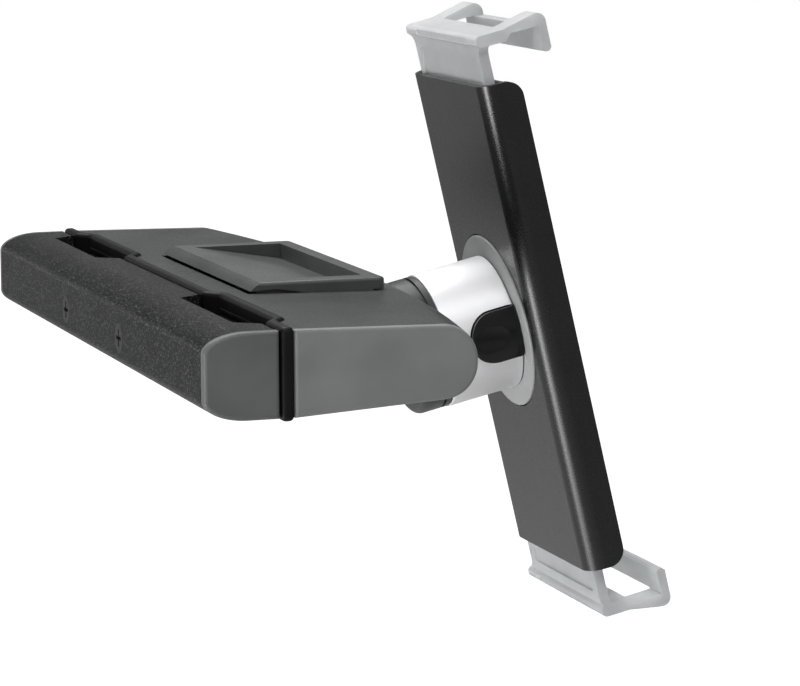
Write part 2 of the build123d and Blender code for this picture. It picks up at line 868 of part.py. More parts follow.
edge_low = lever_axle_x - (lever_sweep_radius**2 - (lever_seat_z - lever_axle_z) ** 2) ** 0.5
edge_high = lever_axle_x - (lever_sweep_radius**2 - (lever_top - lever_axle_z) ** 2) ** 0.5
ramp_left = edge_high + lever_left_bar - 2.5
ramp_right = lever_right - lever_right_bar
mid_angle = 0.5 * (
    atan((lever_seat_z - lever_axle_z) / (lever_axle_x - edge_low))
    + atan((lever_top - lever_axle_z) / (lever_axle_x - edge_high))
)
edge_middle = lever_point(-lever_sweep_radius * cos(mid_angle), lever_sweep_radius * sin(mid_angle))
floor_right = lever_top - lever_pocket_depth
wall_x = ramp_right + lever_skin
lever_half = lever_width / 2
with BuildPart() as lever:
    with BuildSketch(clamp_side(lever_half)):
        with BuildLine():
            ThreePointArc((edge_low, lever_seat_z), edge_middle, (edge_high, lever_top))
            Line((edge_high, lever_top), (lever_right, lever_top))
            Polyline(
                (lever_right, lever_top),
                (lever_right, under_lever(lever_right)),
                (wall_x, under_lever(wall_x)),
                (wall_x, floor_right - lever_skin),
                (ramp_right, floor_right - lever_skin),
                (ramp_left, lever_top - lever_skin - 0.2),
                (edge_low, lever_seat_z),
            )
        make_face()
    extrude(amount=2 * lever_half)
    # rounded outer corners and top edges
    corner_edges = lever.edges().filter_by(Axis.Z).group_by(Axis.X)[-1]
    fillet(corner_edges, 2.0)
    top_face = lever.faces().filter_by(Axis.Z).sort_by(Axis.Z)[-1]
    right_edges = [edge for edge in top_face.edges() if edge.center().X > lever_axle_x]
    fillet(right_edges, 1.0)
    # finger pocket with a ramped floor
    with BuildSketch(clamp_side(lever_half - lever_side_bar)):
        Polygon(
            (ramp_left, lever_top),
            (ramp_right, floor_right),
            (ramp_right + 0.4, lever_top + 1),
            (ramp_left, lever_top + 1),
            align=None,
        )
    extrude(amount=2 * (lever_half - lever_side_bar), mode=Mode.SUBTRACT)
    # end arms with their hubs on the axle
    hub_inner = lever_half - 5.0
    for side in (1, -1):
        with BuildSketch(clamp_side(side * (hub_inner + 2.0))):
            with Locations(lever_point(0, 0)):
                Circle(cam_hub_radius)
            Polygon(
                lever_point(-cam_hub_radius, 0),
                lever_point(cam_hub_radius, 0),
                lever_point(cam_hub_radius + 2.5, lever_top - lever_skin - lever_axle_z - 0.4),
                lever_point(-cam_hub_radius - 1.5, lever_top - lever_skin - lever_axle_z - 0.2),
                align=None,
            )
        extrude(amount=2.0, both=True)
        # cam lobe: involute flank, hub circle and a web up to the panel
        with BuildSketch(clamp_side(side * (cam_inner_y + cam_width / 2))):
            with Locations(lever_point(0, 0)):
                Circle(cam_hub_radius)
            with BuildLine():
                flank = cam_points()
                Spline(*flank)
                Polyline(
                    flank[-1],
                    lever_point(0, -cam_hub_radius * 0.4),
                    lever_point(-cam_hub_radius * 0.95, 0),
                    lever_point(-cam_hub_radius, lever_top - lever_skin - lever_axle_z),
                    lever_point(cam_reach - 3, lever_top - lever_skin - lever_axle_z - 0.3),
                    lever_point(cam_reach, lever_top - lever_skin - lever_axle_z - 0.8),
                    flank[0],
                )
            make_face()
        extrude(amount=cam_width / 2, both=True)
        # ribs under the panel run from the cams to the pocket's end wall
        with BuildSketch(clamp_side(side * (cam_inner_y + cam_width / 2))):
            Polygon(
                (lever_axle_x + cam_reach + 6, 9.8),
                (ramp_right - 1, floor_right - lever_skin - 0.9),
                (ramp_right - 1, floor_right - 0.8),
                (lever_axle_x + cam_reach + 6, 11.6),
                align=None,
            )
        extrude(amount=1.0, both=True)
    with BuildSketch(clamp_side(lever_half + 1)):
        with Locations(lever_point(0, 0)):
            Circle(lever_axle_radius + shaft_gap)
    extrude(amount=2 * lever_half + 2, mode=Mode.SUBTRACT)
save(lever, "lever")

axle_half = window_half + 3.5
with BuildPart() as lever_axle:
    with BuildSketch(clamp_side(axle_half)):
        with Locations(lever_point(0, 0)):
            Circle(lever_axle_radius)
    extrude(amount=2 * axle_half)
    chamfer(lever_axle.edges(), 0.4)
save(lever_axle, "lever_axle")


# Knuckle: tilting arm with the round collar
with BuildPart() as knuckle:
    with BuildSketch(head_plane(collar_start)):
        Circle(collar_radius)
    extrude(amount=collar_length)
    fillet(knuckle.edges().filter_by(GeomType.CIRCLE).sort_by(Axis.X)[0], 2.0)
    with BuildSketch(arm_side(lug_width / 2)):
        Circle(lug_radius)
        Polygon(
            (-lug_radius * 0.72, -lug_radius * 0.69),
            (collar_start + 1, -28.5),
            (collar_start + 1, 0.6),
            (8.3, 1.3),
            (4.5, 6.37),
            align=None,
        )
    extrude(amount=lug_width)
    # shadow groove round the collar
    with BuildSketch(head_plane(collar_start + collar_length - 2.6)):
        Circle(collar_radius + 1)
        Circle(collar_radius - 0.8, mode=Mode.SUBTRACT)
    extrude(amount=0.9, mode=Mode.SUBTRACT)
    with BuildSketch(arm_side(lug_width)):
        Circle(tilt_bolt_radius + shaft_gap)
    extrude(amount=2 * lug_width, mode=Mode.SUBTRACT)
    # threaded holes for the hub screws
    with BuildSketch(head_plane(collar_start + 2)):
        with Locations((0, hub_screw_height), (0, -hub_screw_height)):
            Circle(hub_screw_radius)
    extrude(amount=collar_length, mode=Mode.SUBTRACT)
    # ring-shaped pocket that evens the collar's walls
    with BuildSketch(head_plane(collar_start + 4)):
        Circle(9.5)
        Circle(3.5, mode=Mode.SUBTRACT)
    extrude(amount=collar_length, mode=Mode.SUBTRACT)
save(knuckle, "knuckle")

with BuildPart() as friction_washers:
    for side in (1, -1):
        with BuildSketch(clamp_side(side * (lug_width + washer_thickness) / 2)):
            with Locations((pivot_x, 0)):
                Circle(washer_radius)
                Circle(tilt_bolt_radius + shaft_gap, mode=Mode.SUBTRACT)
        extrude(amount=washer_thickness / 2, both=True)
save(friction_washers, "friction_washers")

bolt_head_radius = 5.2
bolt_head_height = 3.2
tilt_nut_thickness = 4.6
with BuildPart() as tilt_bolt:
    with BuildSketch(clamp_side(cheek_outer + bolt_head_height)):
        with Locations((pivot_x, 0)):
            Circle(bolt_head_radius)
    extrude(amount=bolt_head_height)
    fillet(tilt_bolt.edges().sort_by(Axis.Y)[-1], 0.8)
    with BuildSketch(clamp_side(cheek_outer)):
        with Locations((pivot_x, 0)):
            Circle(tilt_bolt_radius)
    extrude(amount=2 * cheek_outer + tilt_nut_thickness + 1.2)
    # hexagon key socket
    with BuildSketch(clamp_side(cheek_outer + bolt_head_height)):
        with Locations((pivot_x, 0)):
            RegularPolygon(2.0, 6, major_radius=False)
    extrude(amount=2.2, mode=Mode.SUBTRACT)
save(tilt_bolt, "tilt_bolt")

with BuildPart() as tilt_nut:
    with BuildSketch(clamp_side(-cheek_outer)):
        with Locations((pivot_x, 0)):
            RegularPolygon(5.0, 6, major_radius=False)
            Circle(tilt_bolt_radius, mode=Mode.SUBTRACT)
    extrude(amount=tilt_nut_thickness)
    chamfer(tilt_nut.edges().filter_by(GeomType.CIRCLE).sort_by(Axis.Y)[0], 0.5)
save(tilt_nut, "tilt_nut")

# Hub inside the barrel
collar_end = collar_start + collar_length
hub_radius = sleeve_radius - sleeve_wall - 0.05
latch_gap = 0.3
left_latch_start = 33.3
right_latch_start = left_latch_start + latch_thickness + 1.6
channel_low = left_latch_start - latch_gap
channel_high = right_latch_start + latch_thickness + latch_gap
button_inner = 13.5
button_end = sleeve_end - 0.3
button_low = button_left
pocket_inner = button_inner - button_travel - slide_gap
spring_along = 43.0
button_spring_radius = 1.6
button_spring_inner = 8.6
button_seat_depth = 1.0
button_wire_radius = 0.22
with BuildPart() as hub:
    with BuildSketch(head_plane(collar_end)):
        Circle(hub_radius)
    extrude(amount=disc_start - collar_end)
    # bore for the spigot
    with BuildSketch(head_plane(spigot_start)):
        Circle(spigot_radius + 0.1)
    extrude(amount=disc_start, mode=Mode.SUBTRACT)
    # channel that the latch plates slide in
    with BuildSketch(head_plane(channel_low)):
        Rectangle(4 * hub_radius, latch_width + 2 * slide_gap)
    extrude(amount=channel_high - channel_low, mode=Mode.SUBTRACT)
    for side in (1, -1):
        # pocket for the button's body
        with BuildSketch(head_plane(button_low - slide_gap)):
            with Locations((side * (pocket_inner + 10), 0)):
                Rectangle(20, button_height + 2 * slide_gap)
        extrude(amount=disc_start, mode=Mode.SUBTRACT)
        # blind bore for the button's spring
        with BuildSketch(outward_plane(side, button_spring_inner)):
            with Locations((spring_along, 0)):
                Circle(button_spring_radius + 0.25)
        extrude(amount=6, mode=Mode.SUBTRACT)
        # sunk seat of the hub screw
        with BuildSketch(head_plane(collar_end)):
            with Locations((0, side * hub_screw_height)):
                Circle(hub_screw_radius + 0.2)
        extrude(amount=disc_start, mode=Mode.SUBTRACT)
        with BuildSketch(head_plane(hub_screw_seat)):
            with Locations((0, side * hub_screw_height)):
                Circle(hub_screw_head + 0.2)
        extrude(amount=disc_start, mode=Mode.SUBTRACT)
save(hub, "hub")

with BuildPart() as hub_screws:
    for side in (1, -1):
        with BuildSketch(head_plane(hub_screw_seat)):
            with Locations((0, side * hub_screw_height)):
                Circle(hub_screw_head)
        extrude(amount=1.9)
        with BuildSketch(head_plane(hub_screw_seat)):
            with Locations((0, side * hub_screw_height)):
                Circle(hub_screw_radius)
        extrude(amount=-(hub_screw_seat - collar_start - 3))
        with BuildSketch(head_plane(hub_screw_seat + 1.9)):
            with Locations((0, side * hub_screw_height)):
                Rectangle(3.0, 0.7)
                Rectangle(0.7, 3.0)
        extrude(amount=-1.1, mode=Mode.SUBTRACT)
save(hub_screws, "hub_screws")

# Silver sleeve with openings for both buttons
with BuildPart() as sleeve:
    with BuildSketch(head_plane(sleeve_start)):
        Circle(sleeve_radius)
        Circle(sleeve_radius - sleeve_wall, mode=Mode.SUBTRACT)
    extrude(amount=sleeve_end - sleeve_start)
    outer_rims = sleeve.edges().filter_by(GeomType.CIRCLE).sort_by(SortBy.RADIUS)[-2:]
    fillet(outer_rims, 0.4)
    opening_left = button_low - slide_gap
    opening_right = sleeve_end + 6
    opening_radius = button_height / 2 + slide_gap - 0.05
    with BuildSketch(head_side(2 * sleeve_radius)):
        with Locations(((opening_left + opening_right) / 2, 0)):
            RectangleRounded(opening_right - opening_left, button_height + 2 * slide_gap, opening_radius)
    extrude(amount=4 * sleeve_radius, mode=Mode.SUBTRACT)
save(sleeve, "sleeve")


def build_button(side, latch_start, name):
    """Button with a dish, on a latch plate that hooks the far side of the spigot."""
    with BuildPart() as button:
        # pressed face follows the barrel
        with BuildSketch(head_plane(button_low)):
            Circle(sleeve_radius + button_rise)
        extrude(amount=button_end - button_low)
        with BuildSketch(head_side(side * (button_inner + sleeve_radius) / 2 + side * 5)):
            with Locations(((button_low + button_end + 10) / 2, 0)):
                RectangleRounded(button_end + 10 - button_low, button_height, button_height / 2 - 0.05)
        extrude(amount=(sleeve_radius - button_inner) / 2 + 5, both=True, mode=Mode.INTERSECT)
        dish_sphere = (button_dish_radius**2 + button_dish_depth**2) / (2 * button_dish_depth)
        dish_middle = side * (sleeve_radius + button_rise + dish_sphere - button_dish_depth)
        dish_spot = head_side(dish_middle).from_local_coords(Vector(button_low + button_dish_place, 0, 0))
        with Locations(dish_spot):
            Sphere(dish_sphere, mode=Mode.SUBTRACT)
        # latch plate
        with BuildSketch(head_plane(latch_start)):
            with Locations((side * (button_inner + 0.7 - latch_far) / 2, 0)):
                RectangleRounded(button_inner + 0.7 + latch_far, latch_width, 1.5)
            with Locations((side * button_travel, 0)):
                Circle(spigot_radius + slide_gap, mode=Mode.SUBTRACT)
        extrude(amount=latch_thickness)
        # seat of the spring
        with BuildSketch(outward_plane(side, button_inner)):
            with Locations((spring_along, 0)):
                Circle(button_spring_radius + 0.2)
        extrude(amount=button_seat_depth, mode=Mode.SUBTRACT)
    save(button, name)


latch_far = 9.2
build_button(1, left_latch_start, "button_left")
build_button(-1, right_latch_start, "button_right")


def build_button_spring(side, name):
    """Small coil between the hub's blind bore and the button's seat."""
    start = head_side(side * button_spring_inner).from_local_coords(Vector(spring_along, 0, 0))
    spot = Plane(origin=start, x_dir=head_side(0).x_dir, z_dir=(0, side, 0))
    coil_length = button_inner + button_seat_depth - button_spring_inner
    coil = coil_spring(spot, coil_length, button_spring_radius, button_wire_radius, 5)
    with BuildPart() as spring:
        add(coil)
    save(spring, name)


build_button_spring(1, "button_spring_left")
build_button_spring(-1, "button_spring_right")

# Swivel disc with its grooved spigot
hub_top = lip_end + 0.05
with BuildPart() as swivel_disc:
    with BuildSketch(head_plane(disc_start)):
        Circle(disc_radius)
    extrude(amount=disc_thickness)
    back_rim = swivel_disc.edges().filter_by(GeomType.CIRCLE).sort_by(Axis.X)[0]
    fillet(back_rim, 0.5)
    with BuildSketch(head_plane(disc_start)):
        Circle(bearing_radius)
    extrude(amount=hub_top - disc_start)
    with BuildSketch(head_plane(spigot_start)):
        Circle(spigot_radius)
    extrude(amount=disc_start - spigot_start)
    chamfer(swivel_disc.edges().filter_by(GeomType.CIRCLE).sort_by(Axis.X)[0], 0.8)
    for groove_start in (left_latch_start, right_latch_start):
        with BuildSketch(head_plane(groove_start - latch_gap)):
            Circle(spigot_radius + 1)
            Circle(spigot_radius - spigot_groove, mode=Mode.SUBTRACT)
        extrude(amount=latch_thickness + 2 * latch_gap, mode=Mode.SUBTRACT)
    # cored centre and threaded holes
    with BuildSketch(head_plane(spigot_start + 4)):
        Circle(2.6)
    extrude(amount=hub_top, mode=Mode.SUBTRACT)
    with BuildSketch(head_plane(disc_start + 1)):
        with PolarLocations(ring_screw_circle, 4, start_angle=45):
            Circle(ring_screw_radius)
    extrude(amount=hub_top, mode=Mode.SUBTRACT)
save(swivel_disc, "swivel_disc")

with BuildPart() as bearing_washer:
    with BuildSketch(head_plane(disc_start + disc_thickness)):
        Circle(disc_radius - 0.5)
        Circle(bearing_radius + 0.05, mode=Mode.SUBTRACT)
    extrude(amount=washer_height)
save(bearing_washer, "bearing_washer")

with BuildPart() as retaining_ring:
    with BuildSketch(head_plane(hub_top)):
        Circle(ring_radius)
        Circle(ring_hole_radius, mode=Mode.SUBTRACT)
    extrude(amount=ring_thickness)
    for place in PolarLocations(ring_screw_circle, 4, start_angle=45):
        spot = head_plane(hub_top + ring_thickness)
        x_off, y_off = place.position.X, place.position.Y
        with BuildSketch(spot):
            with Locations((x_off, y_off)):
                Circle(ring_screw_head + 0.1)
        extrude(amount=-(ring_screw_head - ring_screw_radius), taper=45, mode=Mode.SUBTRACT)
        with BuildSketch(spot):
            with Locations((x_off, y_off)):
                Circle(ring_screw_radius + 0.1)
        extrude(amount=-2 * ring_thickness, mode=Mode.SUBTRACT)
save(retaining_ring, "retaining_ring")

ring_screw_length = hub_top + ring_thickness - disc_start - 1.2
with BuildPart() as ring_screws:
    for place in PolarLocations(ring_screw_circle, 4, start_angle=45):
        top = head_plane(hub_top + ring_thickness)
        start = top.from_local_coords(Vector(place.position.X, place.position.Y, 0))
        spot = Plane(origin=start, x_dir=top.x_dir, z_dir=-top.z_dir)
        add(cross_screw(spot, ring_screw_head, ring_screw_radius, ring_screw_length))
save(ring_screws, "ring_screws")

# Back plate: channel with a counterbored swivel hole
plate_half = plate_width / 2
plate_end = plate_start + plate_depth
half_plate_height = plate_height / 2
inner_half = plate_half - plate_wall
counterbore_end = disc_start + disc_thickness + washer_height + 0.05


def channel_plane(height):
    """Plane across the channel; its x runs along Y, its y along the cylinder's axis."""
    return Plane(
        origin=head_side(0).from_local_coords(Vector(0, height, 0)),
        x_dir=(0, 1, 0),
        z_dir=(sin(tilt), 0, -cos(tilt)),
    )


with BuildPart() as back_plate:
    with BuildSketch(channel_plane(half_plate_height)):
        with BuildLine():
            inner_radius = plate_edge_radius - plate_wall
            Polyline(
                (-plate_half + plate_edge_radius, plate_start),
                (plate_half - plate_edge_radius, plate_start),
            )
            RadiusArc(
                (plate_half - plate_edge_radius, plate_start),
                (plate_half, plate_start + plate_edge_radius),
                -plate_edge_radius,
            )
            Polyline(
                (plate_half, plate_start + plate_edge_radius),
                (plate_half, plate_end),
                (inner_half, plate_end),
                (inner_half, cover_start),
                (inner_half - rail_width, cover_start),
                (inner_half - rail_width, rail_start),
                (inner_half, rail_start - rail_width),
                (inner_half, plate_start + plate_edge_radius),
            )
            RadiusArc(
                (inner_half, plate_start + plate_edge_radius),
                (plate_half - plate_edge_radius, plate_start + plate_wall),
                inner_radius,
            )
            Line(
                (plate_half - plate_edge_radius, plate_start + plate_wall),
                (-plate_half + plate_edge_radius, plate_start + plate_wall),
            )
            RadiusArc(
                (-plate_half + plate_edge_radius, plate_start + plate_wall),
                (-inner_half, plate_start + plate_edge_radius),
                inner_radius,
            )
            Polyline(
                (-inner_half, plate_start + plate_edge_radius),
                (-inner_half, rail_start - rail_width),
                (-inner_half + rail_width, rail_start),
                (-inner_half + rail_width, cover_start),
                (-inner_half, cover_start),
                (-inner_half, plate_end),
                (-plate_half, plate_end),
                (-plate_half, plate_start + plate_edge_radius),
            )
            RadiusArc(
                (-plate_half, plate_start + plate_edge_radius),
                (-plate_half + plate_edge_radius, plate_start),
                -plate_edge_radius,
            )
        make_face()
    extrude(amount=plate_height)
    # rounded free corners of both side walls
    with BuildSketch(head_side(plate_half + 1)):
        with Locations((plate_end - plate_height / 2, 0)):
            RectangleRounded(plate_height, plate_height, plate_free_radius)
    extrude(amount=plate_width + 2, mode=Mode.INTERSECT)
    # ribs between the standoffs, no higher than the boss
    for side in (1, -1):
        with BuildSketch(head_plane(plate_start + plate_wall - 0.4)):
            with Locations((side * standoff_places[0][0], 0)):
                Rectangle(1.4, 2 * standoff_places[0][1])
        extrude(amount=lip_end - plate_start - plate_wall + 0.4)
    # boss round the swivel hole, then counterbore and lip
    with BuildSketch(head_plane(plate_start + plate_wall)):
        Circle(disc_radius + disc_gap + 1.9)
    extrude(amount=lip_end - plate_start - plate_wall)
    with BuildSketch(head_plane(plate_start - 1)):
        Circle(disc_radius + disc_gap)
    extrude(amount=counterbore_end - plate_start + 1, mode=Mode.SUBTRACT)
    with BuildSketch(head_plane(plate_start - 1)):
        Circle(bearing_radius + 0.1)
    extrude(amount=10, mode=Mode.SUBTRACT)
    # standoffs for the front cover
    with BuildSketch(head_plane(plate_start + plate_wall - 0.4)):
        with Locations(*standoff_places):
            Circle(standoff_radius)
            Circle(cover_screw_radius, mode=Mode.SUBTRACT)
    extrude(amount=cover_start - plate_start - plate_wall + 0.4)
save(back_plate, "back_plate")

# Front cover with the pinion's boss
cover_half = inner_half - cover_gap
cover_half_height = half_plate_height - 2.0
cross_rib_z = cover_half_height - 5.3
boss_end = pinion_start - 0.4
with BuildPart() as front_cover:
    with BuildSketch(head_plane(cover_start)):
        RectangleRounded(2 * cover_half, 2 * cover_half_height, 4)
    extrude(amount=cover_thickness)
    front_rim = front_cover.faces().sort_by(Axis((0, 0, 0), head_plane(0).z_dir))[-1].edges()
    fillet(front_rim, 0.5)
    # hollow boss that carries the pinion
    with BuildSketch(head_plane(cover_start)):
        Circle(pinion_bore - shaft_gap)
    extrude(amount=-(cover_start - boss_end))
    with BuildSketch(head_plane(boss_end)):
        Circle(pinion_screw_radius)
    extrude(amount=4.5, mode=Mode.SUBTRACT)
    # stiffening frame on the inside, clear of the racks
    with BuildSketch(head_plane(cover_start)):
        with Locations((0, cross_rib_z), (0, -cross_rib_z)):
            Rectangle(cross_rib_length, cover_rib)
        with Locations((cover_rib_y, 0), (-cover_rib_y, 0)):
            Rectangle(cover_rib, 2 * cross_rib_z - 12)
    extrude(amount=-1.2)
    # countersunk screw holes
    top = head_plane(cover_start + cover_thickness)
    with BuildSketch(top):
        with Locations(*standoff_places):
            Circle(cover_screw_head + 0.1)
    extrude(amount=-(cover_screw_head - cover_screw_radius), taper=45, mode=Mode.SUBTRACT)
    with BuildSketch(top):
        with Locations(*standoff_places):
            Circle(cover_screw_radius + 0.1)
    extrude(amount=-2 * cover_thickness, mode=Mode.SUBTRACT)
save(front_cover, "front_cover")

with BuildPart() as cover_screws:
    top = head_plane(cover_start + cover_thickness)
    for y_place, z_place in standoff_places:
        start = top.from_local_coords(Vector(y_place, z_place, 0))
        spot = Plane(origin=start, x_dir=top.x_dir, z_dir=-top.z_dir)
        add(cross_screw(spot, cover_screw_head, cover_screw_radius, 8))
save(cover_screws, "cover_screws")

pad_length = 2 * (cover_half_height - 15.3)
groove_step = pad_length / (pad_groove_count + 1)
with BuildPart() as tablet_pads:
    for side in (1, -1):
        with BuildSketch(head_plane(cover_start + cover_thickness)):
            with Locations((side * pad_y, 0)):
                SlotOverall(pad_length, pad_width, rotation=90)
        extrude(amount=pad_thickness)
        for index in range(pad_groove_count):
            z_place = (index - (pad_groove_count - 1) / 2) * groove_step
            with BuildSketch(head_plane(tablet_back - 0.5)):
                with Locations((side * pad_y, z_place)):
                    Rectangle(pad_width, 1)
            extrude(amount=1, mode=Mode.SUBTRACT)
save(tablet_pads, "tablet_pads")

# Pinion with a recess for the spiral spring
pitch_radius = pinion_module * pinion_teeth / 2
tip_radius = pitch_radius + pinion_module
root_radius = pitch_radius - 1.25 * pinion_module
pressure = radians(20)
base_radius = pitch_radius * cos(pressure)


def involute_angle(radius):
    """Polar angle that the involute has gained at one radius."""
    grown = (radius**2 / base_radius**2 - 1) ** 0.5
    return grown - atan(grown)


def tooth_half_angle(radius):
    held = max(radius, base_radius)
    at_pitch = pi / (2 * pinion_teeth) - running_gap / (2 * pitch_radius)
    return at_pitch + involute_angle(pitch_radius) - involute_angle(held)


with BuildPart() as pinion:
    with BuildSketch(head_plane(pinion_start)):
        with BuildLine():
            points = []
            for tooth in range(pinion_teeth):
                middle = 2 * pi * (tooth + 0.5) / pinion_teeth
                flank_radii = (root_radius, base_radius, pitch_radius, tip_radius)
                for radius in flank_radii:
                    turn = middle - tooth_half_angle(radius)
                    points.append((radius * cos(turn), radius * sin(turn)))
                for radius in reversed(flank_radii):
                    turn = middle + tooth_half_angle(radius)
                    points.append((radius * cos(turn), radius * sin(turn)))
            Polyline(*points, close=True)
        make_face()
        Circle(pinion_bore, mode=Mode.SUBTRACT)
    extrude(amount=pinion_thickness)
    with BuildSketch(head_plane(pinion_start + 0.8)):
        Circle(7.7)
        Circle(4.9, mode=Mode.SUBTRACT)
    extrude(amount=pinion_thickness, mode=Mode.SUBTRACT)
save(pinion, "pinion")

with BuildPart() as pinion_screw:
    with BuildSketch(head_plane(boss_end)):
        Circle(5.4)
    extrude(amount=-0.9)
    with BuildSketch(head_plane(boss_end)):
        Circle(pinion_screw_radius)
    extrude(amount=4.2)
    with BuildSketch(head_plane(boss_end - 0.9)):
        Rectangle(3.2, 0.7)
        Rectangle(0.7, 3.2)
    extrude(amount=0.6, mode=Mode.SUBTRACT)
save(pinion_screw, "pinion_screw")

# flat spiral of half circles whose centres alternate
strip_half_width = 0.16
with BuildPart() as clip_spring:
    with BuildSketch(head_plane(pinion_start + 0.9)):
        with BuildLine():
            pitch_step = 0.31
            radius = 5.2
            centre = 0.0
            arcs = []
            for half_turn in range(6):
                arcs.append((centre, radius, half_turn))
                way = 1 if half_turn % 2 == 0 else -1
                centre = centre + way * pitch_step
                radius = radius + pitch_step
            for shift in (strip_half_width, -strip_half_width):
                for mid, size, half_turn in arcs:
                    way = 1 if half_turn % 2 == 0 else -1
                    reach = size + shift
                    ThreePointArc((mid + way * reach, 0), (mid, way * reach), (mid - way * reach, 0))
            first, last = arcs[0], arcs[-1]
            last_way = 1 if last[2] % 2 == 0 else -1
            Line((first[0] + first[1] + strip_half_width, 0), (first[0] + first[1] - strip_half_width, 0))
            Line(
                (last[0] - last_way * (last[1] + strip_half_width), 0),
                (last[0] - last_way * (last[1] - strip_half_width), 0),
            )
        make_face()
    extrude(amount=1.9)
save(clip_spring, "clip_spring")

# Clips: tongue, back bar, two arms with hooks, front lip and toothed rack
rack_pitch = pi * pinion_module
rack_low = -27.0
rack_inner = pitch_radius + 1.25 * pinion_module
link_low = tongue_inner_end
link_high = tongue_inner_end + 8
tablet_top = tablet_half_height + 0.3


def clip_front(along, turn):
    base = head_plane(along)
    return Plane(origin=base.origin, x_dir=base.x_dir * turn, z_dir=base.z_dir)


def clip_side_plane(y_place, turn):
    base = head_side(turn * y_place)
    return Plane(origin=base.origin, x_dir=base.x_dir, z_dir=base.z_dir * turn)


def build_clip(turn, name):
    with BuildPart() as clip:
        # side profile of back bar, arms, hooks and lip
        with BuildSketch(clip_side_plane(clip_half_width, turn)):
            with BuildLine():
                back = tongue_start - 0.9
                inner_front = tablet_back + tablet_thickness + 0.4
                outer_front = inner_front + hook_thickness
                Polyline(
                    (back, shelf_low + 0.9),
                    (back + 0.9, shelf_low),
                    (cover_start + 0.1, shelf_low),
                    (tablet_back - 1.0, tablet_top),
                    (inner_front, tablet_top),
                    (inner_front, hook_reach + 0.8),
                    (inner_front + 0.8, hook_reach),
                    (outer_front - 0.9, hook_reach),
                    (outer_front, hook_reach + 0.9),
                    (outer_front, hook_top - 2.6),
                )
                ThreePointArc(
                    (outer_front, hook_top - 2.6),
                    (outer_front - 0.8, hook_top - 0.8),
                    (outer_front - 2.6, hook_top),
                )
                Polyline(
                    (outer_front - 2.6, hook_top),
                    (tablet_back + 5.4, hook_top - 0.3),
                    (cover_start, shelf_high + 0.1),
                    (back + 1.4, shelf_high),
                )
                ThreePointArc(
                    (back + 1.4, shelf_high),
                    (back + 0.41, shelf_high - 0.41),
                    (back, shelf_high - 1.4),
                )
                Line((back, shelf_high - 1.4), (back, shelf_low + 0.9))
            make_face()
        extrude(amount=2 * clip_half_width)
        # window between the arms, above the tablet's edge
        with BuildSketch(clip_front(cover_start + 0.4, turn)):
            with Locations((0, tablet_top + 4)):
                Rectangle(2 * (clip_half_width - arm_width), 12)
        extrude(amount=inner_front - cover_start - 0.4, mode=Mode.SUBTRACT)
        # the front lip stays lower than the hooks
        with BuildSketch(clip_front(inner_front - 1, turn)):
            with Locations((0, lip_top + 6)):
                Rectangle(2 * (clip_half_width - arm_width), 12)
        extrude(amount=8, mode=Mode.SUBTRACT)
        # tongue with a concave flare into the back bar
        with BuildSketch(clip_front(tongue_start, turn)):
            flare = clip_half_width - tongue_half_width
            with BuildLine():
                half = tongue_half_width
                Polyline(
                    (half, shelf_low - flare),
                    (half, tongue_inner_end + 3),
                    (half - 3, tongue_inner_end),
                    (-half + 3, tongue_inner_end),
                    (-half, tongue_inner_end + 3),
                    (-half, shelf_low - flare),
                )
                corner = flare * (1 - 0.5**0.5)
                ThreePointArc(
                    (-half, shelf_low - flare),
                    (-half - corner, shelf_low - corner),
                    (-clip_half_width, shelf_low),
                )
                Line((-clip_half_width, shelf_low), (-clip_half_width, shelf_low + 1))
                Line((-clip_half_width, shelf_low + 1), (clip_half_width, shelf_low + 1))
                Line((clip_half_width, shelf_low + 1), (clip_half_width, shelf_low))
                ThreePointArc(
                    (clip_half_width, shelf_low),
                    (half + corner, shelf_low - corner),
                    (half, shelf_low - flare),
                )
            make_face()
        extrude(amount=tongue_thickness + 0.8)
        # recess in the tongue's back, framed by side rims
        with BuildSketch(clip_front(tongue_start, turn)):
            recess_middle = (tongue_inner_end + 4 + shelf_low - 3) / 2
            with Locations((0, recess_middle)):
                RectangleRounded(
                    2 * (tongue_half_width - tongue_rim), shelf_low - 7 - tongue_inner_end, 2
                )
        extrude(amount=0.8, mode=Mode.SUBTRACT)
        # shallow panel sunk in the back bar
        with BuildSketch(clip_front(tongue_start - 1, turn)):
            with Locations((0, (shelf_low + shelf_high) / 2)):
                RectangleRounded(44, 1.8, 0.6)
        extrude(amount=0.5, mode=Mode.SUBTRACT)
        # bar that carries the rack past the pinion
        rack_start = pinion_start - 0.2
        with BuildSketch(clip_front(tongue_start + tongue_thickness, turn)):
            with Locations(((rack_inner + rack_outer) / 2, (link_low + link_high) / 2)):
                Rectangle(rack_outer - rack_inner, link_high - link_low)
        extrude(amount=rack_start - tongue_start - tongue_thickness + 0.5)
        with BuildSketch(clip_front(rack_start, turn)):
            with BuildLine():
                points = [(rack_outer, link_high), (rack_outer, rack_low)]
                half_tooth = rack_pitch / 4 - running_gap / 2
                lean = tan(pressure)
                first_tooth = round((rack_low + 2.5) / rack_pitch)
                points.append((rack_inner, rack_low))
                for index in range(13):
                    middle = (first_tooth + index) * rack_pitch
                    root = half_tooth + 1.25 * pinion_module * lean
                    tip = half_tooth - pinion_module * lean
                    points.append((rack_inner, middle - root))
                    points.append((pitch_radius - pinion_module, middle - tip))
                    points.append((pitch_radius - pinion_module, middle + tip))
                    points.append((rack_inner, middle + root))
                points.append((rack_inner, link_high))
                Polyline(*points, close=True)
            make_face()
        extrude(amount=pinion_thickness - 0.2)
    save(clip, name)


build_clip(1, "top_clip")
build_clip(-1, "bottom_clip")
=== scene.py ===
import json
from math import radians

